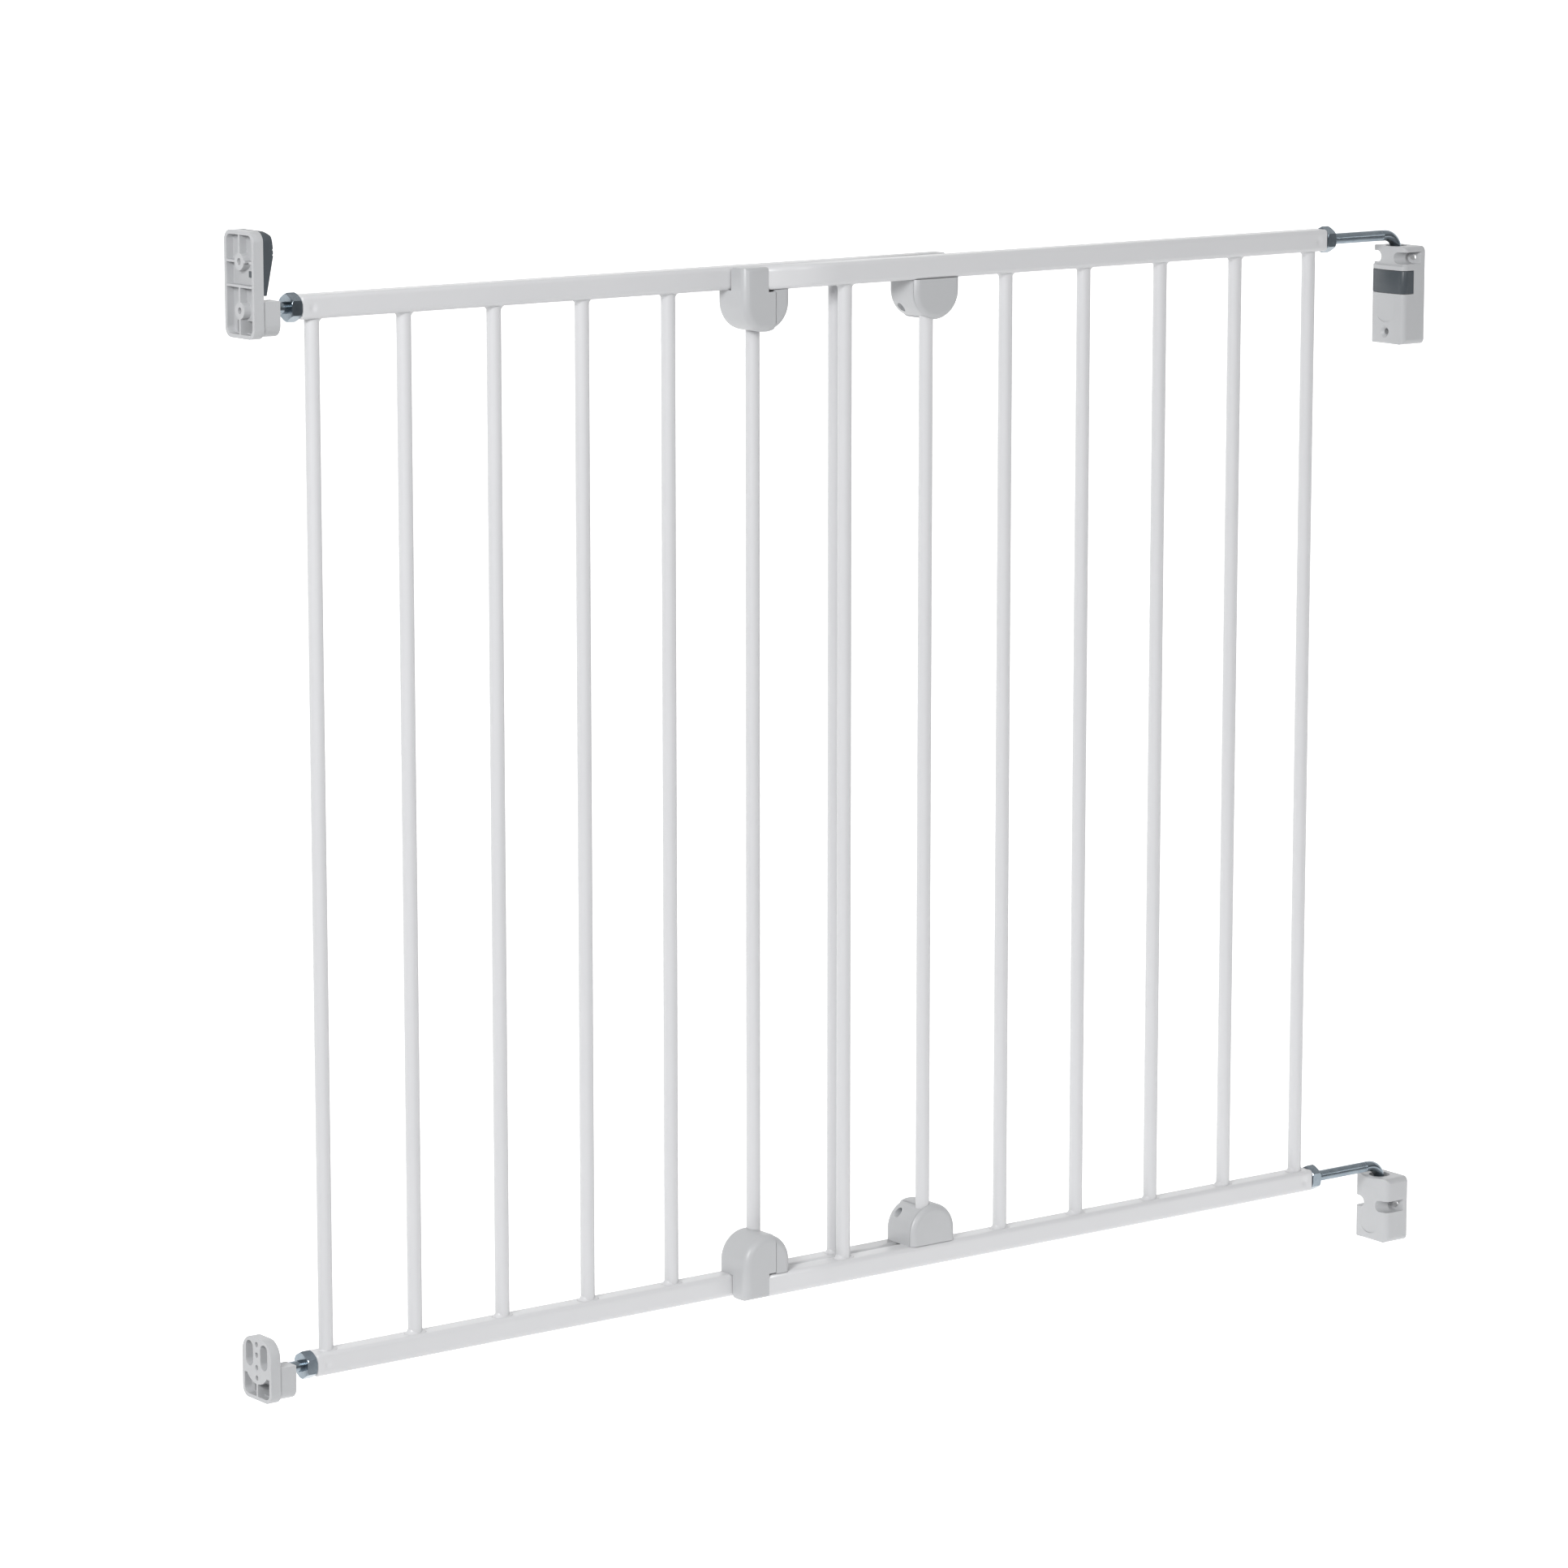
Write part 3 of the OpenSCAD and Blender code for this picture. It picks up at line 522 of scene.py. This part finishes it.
@dataclass
class BarredFrame:
    """One welded frame: two rails, seven bars and the weld beads between them."""
    side: str
    outer_at_high_x: bool
    paint: Paint
    bars: int = 7
    bar_wall: float = 1 * MM
    bar_levels: int = 12
    bar_steps: int = 40
    rim_tolerance: float = 1e-6
    bead_reach: float = 3.0 * MM
    bead_rise: float = 3.4 * MM
    bead_least_reach: float = 0.35 * MM
    bead_least_rise: float = 0.45 * MM
    bead_overlap: float = 0.15 * MM
    bead_root: float = 0.6 * MM
    bead_sides: float = 2.2
    bead_at_end: float = 0.25
    bead_hollow: float = 0.8
    bead_steps: int = 6
    lumps: float = 0.22
    lump_scale: float = 1.3
    lump_shift: float = 3.7

    def bar(self, number: int) -> None:
        """Build one round bar tube in place of its CAD node.

        Args:
            number: Which bar, counted along X.
        """
        name = f"{self.side}_bar_{number}"
        low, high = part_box(name)
        cx, cy, r = (low.x + high.x) / 2, (low.y + high.y) / 2, (high.x - low.x) / 2
        rings = []
        rising = [low.z + (high.z - low.z) * k / self.bar_levels for k in range(self.bar_levels + 1)]
        for radius, levels in ((r, rising), (r - self.bar_wall, [high.z, low.z])):
            for z in levels:
                rings.append([Vector((cx + radius * math.cos(a), cy + radius * math.sin(a), z))
                              for a in around(self.bar_steps)])
        verts, faces = skin(rings + [rings[0]], closed_ends=False)
        total = len(verts) - self.bar_steps
        faces = [tuple(v % total for v in face) for face in faces]
        piece = new_piece(f"{self.side}_upright_{number}", verts[:total], faces, Body.PANEL,
                          Slot.POWDER_COAT, self.paint, (name,))
        self.crease_rims(piece, high.z, low.z)

    def crease_rims(self, piece: bpy.types.Object, top: float, bottom: float) -> None:
        """Mark the tube's end rims sharp so that its length shades straight.

        Args:
            piece: The tube.
            top: Height of its upper rim.
            bottom: Height of its lower rim.
        """
        mesh = piece.data
        for edge in mesh.edges:
            heights = [mesh.vertices[v].co.z for v in edge.vertices]
            if any(all(abs(z - rim) < self.rim_tolerance for z in heights) for rim in (top, bottom)):
                edge.use_edge_sharp = True

    def bead_section(self, angle: float, r: float, lump: float, outermost: bool) -> list[tuple[float, float]]:
        """Draw a weld bead's section at one angle round its bar.

        Args:
            angle: The angle round the bar.
            r: The bar's radius.
            lump: How lumpy the bead is there, from -1 to 1.
            outermost: Whether the rail goes on at one side of the bar only.

        Returns:
            Its points, as (distance from the bar's axis, distance from the rail).
        """
        side = abs(math.cos(angle)) ** self.bead_sides
        if outermost and (math.cos(angle) > 0) == self.outer_at_high_x:
            side *= self.bead_at_end
        reach = (self.bead_least_reach + self.bead_reach * side) * (1 + self.lumps * lump)
        rise = (self.bead_least_rise + self.bead_rise * side) * (1 + self.lumps * lump)
        points = [(r - self.bead_overlap + reach * (1 - math.sin(t)) ** self.bead_hollow,
                   rise * (1 - math.cos(t)) ** self.bead_hollow)
                  for t in [0.0] + quarter_turn(self.bead_steps)]
        return points + [(r - self.bead_root, rise), (r - self.bead_root, 0.0)]

    def beads(self, level: str) -> None:
        """Build the weld beads where the bars meet one rail, as one piece.

        Args:
            level: Which rail, "top" or "bottom".
        """
        verts: list = []
        faces: list = []
        seed = (1 if self.side == "front" else 2) * (3 if level == "top" else 5)
        for number in range(1, self.bars + 1):
            low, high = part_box(f"{self.side}_bar_{number}")
            cx, cy, r = (low.x + high.x) / 2, (low.y + high.y) / 2, (high.x - low.x) / 2
            rail_z, away = (high.z, -1) if level == "top" else (low.z, 1)
            outermost = number == (self.bars if self.outer_at_high_x else 1)
            rings = []
            for a in around(self.bar_steps):
                lump = noise(Vector((math.cos(a) * self.lump_scale, math.sin(a) * self.lump_scale,
                                     seed + number * self.lump_shift)))
                rings.append([Vector((cx + out * math.cos(a), cy + out * math.sin(a), rail_z + away * up))
                              for out, up in self.bead_section(a, r, lump, outermost)])
            part_verts, part_faces = skin(rings + [rings[0]], closed_ends=False)
            count = len(rings[0])
            total = len(part_verts) - count
            faces += [tuple(v % total + len(verts) for v in face) for face in part_faces]
            verts += part_verts[:total]
        new_piece(f"{self.side}_{level}_weld_beads", verts, faces, Body.PANEL, Slot.POWDER_COAT, self.paint)

    def build(self) -> None:
        """Build the whole frame."""
        for level in ("top", "bottom"):
            SquareRail(f"{self.side}_{level}_rail", self.outer_at_high_x, self.paint).build()
            self.beads(level)
        for number in range(1, self.bars + 1):
            self.bar(number)
        log.info("%s frame built", self.side)


@dataclass
class Thread:
    """Rolled metric thread along a rod, given as its radius at any place."""
    major_r: float = 4.0 * MM
    depth: float = 0.6 * MM
    pitch: float = 2.0 * MM
    fade: float = 2.2 * MM
    crest: float = 0.12
    flank: float = 0.72

    def radius(self, along: float, angle: float, start: float, end: float) -> float:
        """Radius of the threaded rod.

        Args:
            along: Place along the rod.
            angle: Angle round it.
            start: Where the thread starts.
            end: Where it runs out.

        Returns:
            The radius there.
        """
        if not start < along < end:
            return self.major_r
        wave = (along / self.pitch + angle / (2 * math.pi)) % 1.0
        off_crest = abs(2 * wave - 1)
        cut = min(max((off_crest - self.crest) / self.flank, 0.0), 1.0)
        strength = min(1.0, (along - start) / self.fade, (end - along) / self.fade)
        return self.major_r - self.depth * cut * strength


@dataclass
class HingeRod:
    """Cranked hinge rod: rolled thread along its level part, smooth bend and plain pin."""
    level: str
    paint: Paint
    thread: Thread = field(default_factory=Thread)
    bend_r: float = 12 * MM
    chamfer: float = 1 * MM
    bracket_gap: float = 4 * MM
    neck_r: float = 3 * MM
    neck_top: float = 19.5 * MM
    neck_len: float = 13 * MM
    plain_before_bend: float = 3 * MM
    plain_beside_nut: float = 2 * MM
    plain_parts: int = 4
    steps_per_turn: int = 8
    bend_steps: int = 12
    steps: int = 36

    def build(self) -> None:
        """Build the rod in place of its CAD node."""
        name = f"{self.level}_hinge_rod"
        low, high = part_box(name)
        r = self.thread.major_r
        rod_z = high.z - r
        pin_x = high.x - r
        bend_x = pin_x - self.bend_r
        bracket_top = rod_z - r - self.bracket_gap
        rings: list[list[Vector]] = []
        thread_end = bend_x - self.plain_before_bend
        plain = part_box(f"{self.level}_hinge_nut")[0].x - self.plain_beside_nut
        stations = [low.x, low.x + self.chamfer]
        stations += [low.x + (plain - low.x) * k / self.plain_parts for k in range(1, self.plain_parts + 1)]
        step = self.thread.pitch / self.steps_per_turn
        stations += [plain + step * k for k in range(1, int((thread_end - plain) / step) + 2)]
        stations.append(bend_x)
        for index, x in enumerate(stations):
            ring = []
            for a in around(self.steps):
                radius = self.thread.radius(x, a, plain, thread_end) - (self.chamfer if index == 0 else 0)
                ring.append(Vector((x, radius * math.cos(a), rod_z + radius * math.sin(a))))
            rings.append(ring)
        for turn in quarter_turn(self.bend_steps):
            ring = []
            for a in around(self.steps):
                reach = self.bend_r + r * math.sin(a)
                ring.append(Vector((bend_x + reach * math.sin(turn), r * math.cos(a),
                                    rod_z - self.bend_r + reach * math.cos(turn))))
            rings.append(ring)
        levels = [(low.z + self.chamfer, r), (low.z, r - self.chamfer)]
        if self.level == "upper":
            neck = bracket_top - self.neck_top
            levels = [(neck, r), (neck, self.neck_r), (neck - self.neck_len, self.neck_r),
                      (neck - self.neck_len, r)] + levels
        for z, radius in levels:
            rings.append([Vector((pin_x + radius * math.sin(a), radius * math.cos(a), z))
                          for a in around(self.steps)])
        verts, faces = skin(rings)
        new_piece(f"{self.level}_cranked_rod", verts, faces, Body.RODS, Slot.ZINC, self.paint, (name,))
        log.info("%s hinge rod built", self.level)


@dataclass
class LatchBolt:
    """Latch bolt: rounded tip, plain shank and chamfered inner end."""
    level: str
    body: Body
    paint: Paint
    chamfer: float = 1 * MM
    tip_steps: int = 4
    shank_parts: int = 10
    steps: int = 40

    def build(self) -> None:
        """Build the bolt in place of its CAD node."""
        name = f"{self.level}_latch_bolt"
        low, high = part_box(name)
        cy, cz, r = (low.y + high.y) / 2, (low.z + high.z) / 2, (high.y - low.y) / 2
        profile = [(low.x, r - self.chamfer)]
        profile += [(low.x + self.chamfer * (1 - math.cos(t)), r - self.chamfer * (1 - math.sin(t)))
                    for t in quarter_turn(self.tip_steps)]
        shank = high.x - low.x - 2 * self.chamfer
        profile += [(low.x + self.chamfer + shank * k / self.shank_parts, r)
                    for k in range(1, self.shank_parts + 1)]
        profile.append((high.x, r - self.chamfer))
        rings = [[Vector((x, cy + radius * math.cos(a), cz + radius * math.sin(a)))
                  for a in around(self.steps)] for x, radius in profile]
        verts, faces = skin(rings)
        new_piece(f"{self.level}_bolt_shank", verts, faces, self.body, Slot.ZINC, self.paint, (name,))
        log.info("%s latch bolt built", self.level)


@dataclass
class CadPieces:
    """The CAD nodes that stay: their moulding edges are softened and they get their finishes."""
    paint: Paint
    soft_edges: dict = field(default_factory=lambda: {
        "latch_bracket": 0.7 * MM, "clip_body": 0.5 * MM, "clip_cover": 0.3 * MM,
        "lift_retainer": 0.4 * MM, "catch_slider": 0.8 * MM, "nut": 0.3 * MM})
    weld_within: float = 0.001 * MM
    flat_angle: float = math.radians(0.4)
    edge_angle: float = math.radians(38)
    edge_segments: int = 3

    def build(self) -> None:
        """Dress every node and round the edges of the moulded ones."""
        for name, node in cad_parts.items():
            self.paint.dress_node(name)
            for ending, width in self.soft_edges.items():
                if name.endswith(ending):
                    self.soften(node, width)
        log.info("CAD pieces dressed")

    def soften(self, node: bpy.types.Object, width: float) -> None:
        """Round a node's sharp edges by modifiers.

        Args:
            node: The CAD node.
            width: How far the rounding reaches from an edge.
        """
        weld = node.modifiers.new("joined_faces", "WELD")
        weld.merge_threshold = self.weld_within
        flats = node.modifiers.new("whole_flats", "DECIMATE")
        flats.decimate_type = "DISSOLVE"
        flats.angle_limit = self.flat_angle
        bevel = node.modifiers.new("soft_edges", "BEVEL")
        bevel.width = width
        bevel.segments = self.edge_segments
        bevel.limit_method = "ANGLE"
        bevel.angle_limit = self.edge_angle
        bevel.use_clamp_overlap = True
        bevel.harden_normals = True
        bevel.miter_outer = "MITER_ARC"


# ---- Studio ----

@dataclass
class Studio:
    """Pale sweep, soft light and the camera."""
    eye: Vector = field(default_factory=lambda: Vector((-3.031, -3.250, 1.118)))
    yaw: float = math.radians(36.96)
    pitch: float = math.radians(10.13)
    lens: float = 135.4
    sensor: float = 36.0
    sight: float = 200.0
    floor_z: float = -0.32
    floor_half_width: float = 60.0
    floor_near: float = -20.0
    curve_from: float = 14.0
    curve_r: float = 6.0
    curve_steps: int = 12
    back_height: float = 20.0
    paper_from: float = -1.3
    paper_to: float = -0.5
    dark_paper: tuple = (0.28, 0.28, 0.285)
    pale_paper: tuple = (0.93, 0.93, 0.93)
    paper_glow: float = 0.62
    horizon_from: float = -0.1
    horizon_to: float = 0.75
    horizon_tone: tuple = (0.22, 0.225, 0.235)
    sky_tone: tuple = (1.0, 1.0, 1.0)
    air_strength: float = 0.6
    lamps: tuple = (("key", Vector((-3.0, -1.5, 1.6)), 0.8, 64.0),
                    ("fill", Vector((-1.2, -4.4, 2.2)), 1.2, 36.0))

    def build(self) -> None:
        """Build floor, lights, world and camera."""
        self.floor()
        self.world()
        for name, place, size, power in self.lamps:
            self.light(name, place, size, power)
        self.camera()
        log.info("studio built")

    def floor(self) -> None:
        """Build the floor as a wide sheet that curves up far behind the gate."""
        rows = [(self.floor_near, self.floor_z)]
        for t in [0.0] + quarter_turn(self.curve_steps):
            rows.append((self.curve_from + self.curve_r * math.sin(t),
                         self.floor_z + self.curve_r * (1 - math.cos(t))))
        rows.append((self.curve_from + self.curve_r, self.floor_z + self.back_height))
        across = Vector((math.cos(self.yaw), -math.sin(self.yaw), 0))
        along = Vector((math.sin(self.yaw), math.cos(self.yaw), 0))
        verts = [tuple(across * side + along * far + Vector((0, 0, z)))
                 for far, z in rows for side in (-self.floor_half_width, self.floor_half_width)]
        faces = [(2 * k, 2 * k + 1, 2 * k + 3, 2 * k + 2) for k in range(len(rows) - 1)]
        mesh = bpy.data.meshes.new("studio_sweep")
        mesh.from_pydata(verts, [], faces)
        mesh.polygons.foreach_set("use_smooth", [True] * len(mesh.polygons))
        sweep = bpy.data.objects.new("studio_sweep", mesh)
        bpy.context.scene.collection.objects.link(sweep)
        g = Graph.material("studio_paper")
        away = g.value("ShaderNodeVectorMath", {"operation": "DOT_PRODUCT"},
                       {0: g.place, 1: tuple(along)}, "Value")
        behind = g.value("ShaderNodeMapRange", {"interpolation_type": "SMOOTHSTEP"},
                         {"Value": away, "From Min": self.paper_from, "From Max": self.paper_to})
        glow = g.mix(behind, (0.0, 0.0, 0.0), (1.0, 1.0, 1.0))
        sweep.data.materials.append(
            g.surface(Base_Color=g.mix(behind, self.dark_paper, self.pale_paper), Roughness=0.9,
                      Emission_Color=glow, Emission_Strength=self.paper_glow))

    def world(self) -> None:
        """Light the scene from all round: bright overhead, darker along the horizon."""
        g = Graph(bpy.data.worlds.new("studio_air"))
        height = g.value("ShaderNodeSeparateXYZ", None, {"Vector": g.direction}, "Z")
        rise = g.value("ShaderNodeMapRange", {"interpolation_type": "SMOOTHSTEP"},
                       {"Value": height, "From Min": self.horizon_from, "From Max": self.horizon_to})
        air = g.node("ShaderNodeBackground", None,
                     {"Color": g.mix(rise, self.horizon_tone, self.sky_tone), "Strength": self.air_strength})
        g.node("ShaderNodeOutputWorld", None, {"Surface": air.outputs["Background"]})
        bpy.context.scene.world = g.owner

    def light(self, name: str, place: Vector, size: float, power: float) -> None:
        """Hang one square soft light that faces the gate's middle.

        Args:
            name: The light's name.
            place: Where it hangs.
            size: Its side.
            power: Its power in watts.
        """
        lamp = bpy.data.lights.new(name, "AREA")
        lamp.size = size
        lamp.energy = power
        holder = bpy.data.objects.new(name, lamp)
        holder.location = place
        low, high = CAD_BOX
        holder.rotation_euler = ((low + high) / 2 - place).to_track_quat("-Z", "Y").to_euler()
        bpy.context.scene.collection.objects.link(holder)

    def camera(self) -> None:
        """Set the camera."""
        data = bpy.data.cameras.new("camera")
        data.lens = self.lens
        data.sensor_width = self.sensor
        data.clip_end = self.sight
        holder = bpy.data.objects.new("camera", data)
        holder.location = self.eye
        aim = Vector((math.sin(self.yaw), math.cos(self.yaw), -math.tan(self.pitch)))
        holder.rotation_euler = aim.to_track_quat("-Z", "Y").to_euler()
        bpy.context.scene.collection.objects.link(holder)
        scene = bpy.context.scene
        scene.camera = holder
        scene.view_settings.view_transform = "Standard"


def main() -> None:
    """Build the whole gate and its studio, in order."""
    logging.basicConfig(level=logging.INFO, format="%(name)s: %(message)s")
    paint = Paint()
    BarredFrame("front", True, paint).build()
    BarredFrame("rear", False, paint).build()
    for level in ("upper", "lower"):
        HingeRod(level, paint).build()
    LatchBolt("upper", Body.UPPER_BOLT, paint).build()
    LatchBolt("lower", Body.LOWER_BOLT, paint).build()
    CadPieces(paint).build()
    Studio().build()


if __name__ == "__main__":
    main()
